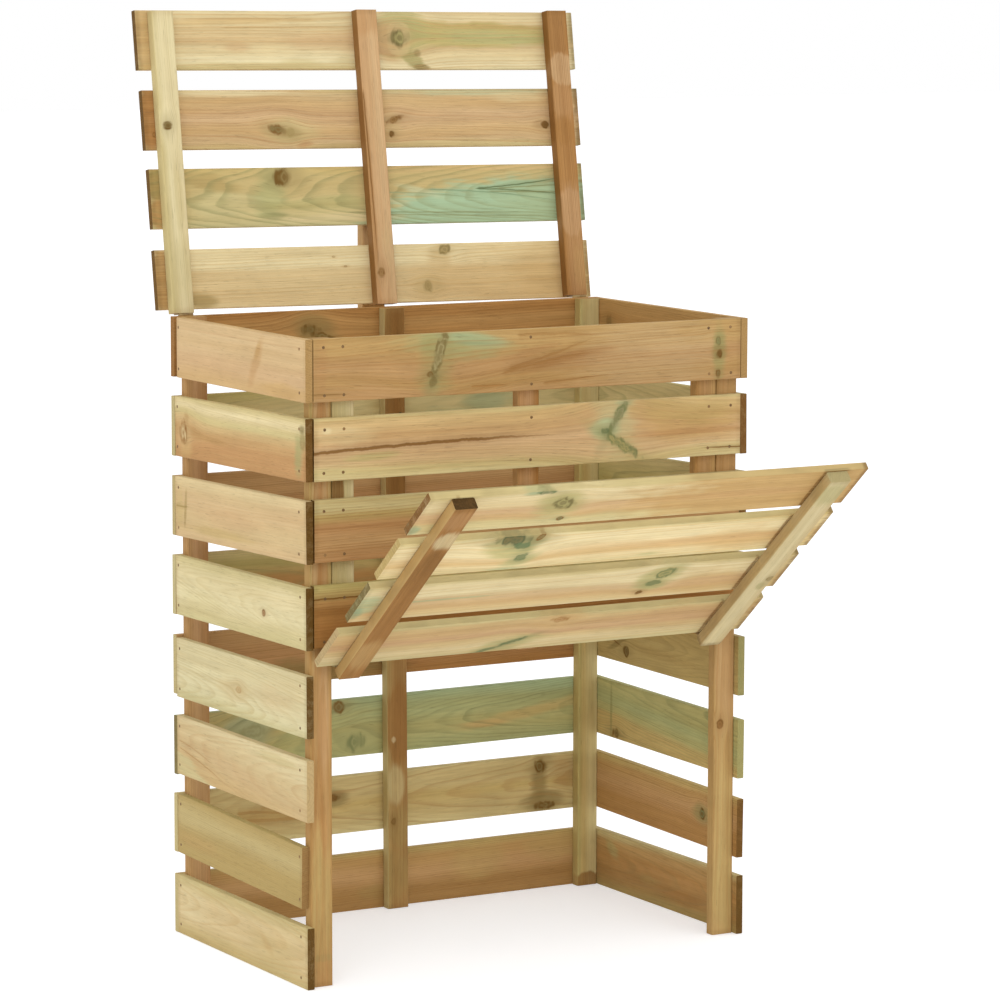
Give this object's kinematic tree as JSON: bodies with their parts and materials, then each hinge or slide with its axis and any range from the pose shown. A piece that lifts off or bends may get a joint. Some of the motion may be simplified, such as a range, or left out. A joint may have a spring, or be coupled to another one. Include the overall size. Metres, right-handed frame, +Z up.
{
  "type": "slatted wooden compost bin",
  "caption": "Tall rectangular slatted pine compost bin with open top and bottom, a batten-backed lid hinged at the back rim and a lower front hatch hinged along its top edge.",
  "frame": {"origin": "ground level, at the middle of the rest pose's outline seen from above", "axes": "+Z up, -Y towards the front hatch, +X to the right seen from the front; lid open against its stop and hatch swung up in the rest pose"},
  "size_m": [0.813, 0.9551, 1.4829],
  "materials": {
    "pine_boards": "matte, rough sawn, pressure impregnated",
    "pine_battens": "matte, planed, pressure impregnated",
    "zinc_steel": "dull zinc plating",
    "nail_steel": "dark, slightly rusted"
  },
  "bodies": {
    "bin": {"back_board_1": "pine_boards", "back_board_2": "pine_boards", "back_board_3": "pine_boards", "back_board_4": "pine_boards", "back_board_5": "pine_boards", "back_board_6": "pine_boards", "back_board_7": "pine_boards", "back_board_8": "pine_boards", "batten_back_middle": "pine_battens", "batten_front_left": "pine_battens", "batten_front_middle": "pine_battens", "batten_front_right": "pine_battens", "front_board_1": "pine_boards", "front_board_2": "pine_boards", "front_board_3": "pine_boards", "front_board_4": "pine_boards", "hinge_leaves_fixed": "zinc_steel", "hinge_pins": "zinc_steel", "left_board_1": "pine_boards", "left_board_2": "pine_boards", "left_board_3": "pine_boards", "left_board_4": "pine_boards", "left_board_5": "pine_boards", "left_board_6": "pine_boards", "left_board_7": "pine_boards", "left_board_8": "pine_boards", "lid_stop_blocks": "pine_battens", "lid_stop_post": "pine_battens", "nails_walls": "nail_steel", "post_back_left": "pine_battens", "post_back_right": "pine_battens", "post_front_left": "pine_battens", "post_front_right": "pine_battens", "right_board_1": "pine_boards", "right_board_2": "pine_boards", "right_board_3": "pine_boards", "right_board_4": "pine_boards", "right_board_5": "pine_boards", "right_board_6": "pine_boards", "right_board_7": "pine_boards", "right_board_8": "pine_boards", "screws_fixed": "zinc_steel", "screws_lid_stop": "zinc_steel"},
    "lid": {"fixings_lid": "nail_steel", "hinge_leaves_lid": "zinc_steel", "lid_batten_left": "pine_battens", "lid_batten_middle": "pine_battens", "lid_batten_right": "pine_battens", "lid_board_1": "pine_boards", "lid_board_2": "pine_boards", "lid_board_3": "pine_boards", "lid_board_4": "pine_boards"},
    "hatch": {"fixings_hatch": "nail_steel", "hatch_batten_left": "pine_battens", "hatch_batten_right": "pine_battens", "hatch_board_1": "pine_boards", "hatch_board_2": "pine_boards", "hatch_board_3": "pine_boards", "hatch_board_4": "pine_boards", "hinge_leaves_hatch": "zinc_steel"}
  },
  "joints": [
    {"name": "lid_hinge", "type": "hinge", "parent": "bin", "child": "lid", "pos_m": [0, 0.3625, 1.0012], "axis": [1, 0, 0], "range_deg": [0, 100]},
    {"name": "hatch_hinge", "type": "hinge", "parent": "bin", "child": "hatch", "pos_m": [0, -0.0977, 0.494], "axis": [1, 0, 0], "range_deg": [-18.5, 129.7]}
  ]
}
